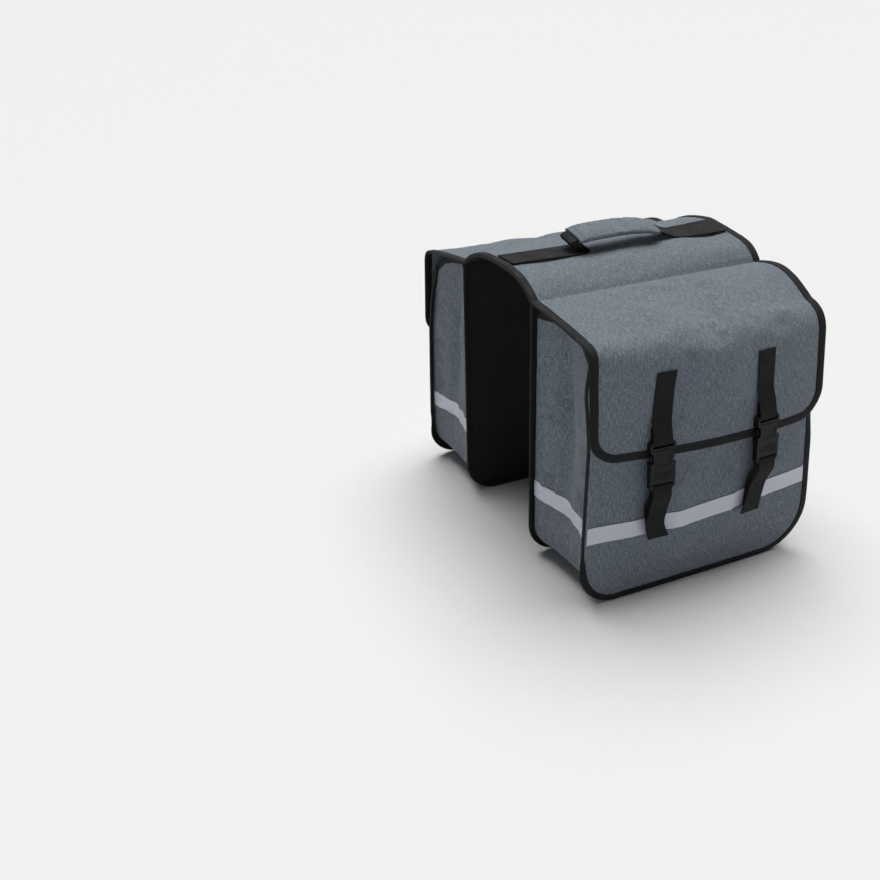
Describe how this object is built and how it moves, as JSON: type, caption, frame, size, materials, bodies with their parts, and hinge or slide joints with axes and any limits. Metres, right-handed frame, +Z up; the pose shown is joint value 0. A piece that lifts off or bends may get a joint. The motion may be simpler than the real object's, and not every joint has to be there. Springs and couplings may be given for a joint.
{
  "type": "double bicycle pannier",
  "caption": "Pair of flap-top rack bags joined by a bridge over the rack, with a carry handle, buckled straps and a reflective band.",
  "frame": {"origin": "centre of the footprint of both bags, on the surface they stand on", "axes": "+Z up, +X along the bags towards the bicycle's rear, +Y across the bags from the near (left) bag to the far (right) one"},
  "size_m": [0.3313, 0.5036, 0.3958],
  "materials": {
    "heather_fabric": "woven blue-grey heather oxford cloth, matt",
    "binding_tape": "black woven binding tape, folded over the edges",
    "webbing": "black woven webbing",
    "black_board": "black coated cloth over a stiff board",
    "buckle_plastic": "black moulded plastic, fine matt grain",
    "reflective_band": "pale silver reflective tape"
  },
  "bodies": {
    "root": {"bridge": "heather_fabric", "bridge_binding_front": "binding_tape", "bridge_binding_rear": "binding_tape", "bridge_lining": "black_board", "carry_strap": "webbing", "handle_sleeve": "heather_fabric", "left_back_panel": "black_board", "left_back_binding": "binding_tape", "left_front_panel": "heather_fabric", "left_front_binding": "binding_tape", "left_front_reflector": "reflective_band", "left_gusset": "heather_fabric", "left_flap": "heather_fabric", "left_flap_binding": "binding_tape", "left_mouth_binding_front": "binding_tape", "left_mouth_binding_rear": "binding_tape", "left_gusset_reflector_front": "reflective_band", "left_gusset_reflector_rear": "reflective_band", "left_buckle_socket_1": "buckle_plastic", "left_buckle_socket_2": "buckle_plastic", "left_buckle_plug_1": "buckle_plastic", "left_buckle_plug_2": "buckle_plastic", "left_flap_webbing_1": "webbing", "left_flap_webbing_2": "webbing", "left_bag_webbing_1": "webbing", "left_bag_webbing_2": "webbing", "right_back_panel": "black_board", "right_back_binding": "binding_tape", "right_front_panel": "heather_fabric", "right_front_binding": "binding_tape", "right_front_reflector": "reflective_band", "right_gusset": "heather_fabric", "right_flap": "heather_fabric", "right_flap_binding": "binding_tape", "right_mouth_binding_front": "binding_tape", "right_mouth_binding_rear": "binding_tape", "right_gusset_reflector_front": "reflective_band", "right_gusset_reflector_rear": "reflective_band", "right_buckle_socket_1": "buckle_plastic", "right_buckle_socket_2": "buckle_plastic", "right_buckle_plug_1": "buckle_plastic", "right_buckle_plug_2": "buckle_plastic", "right_flap_webbing_1": "webbing", "right_flap_webbing_2": "webbing", "right_bag_webbing_1": "webbing", "right_bag_webbing_2": "webbing"}
  },
  "joints": []
}
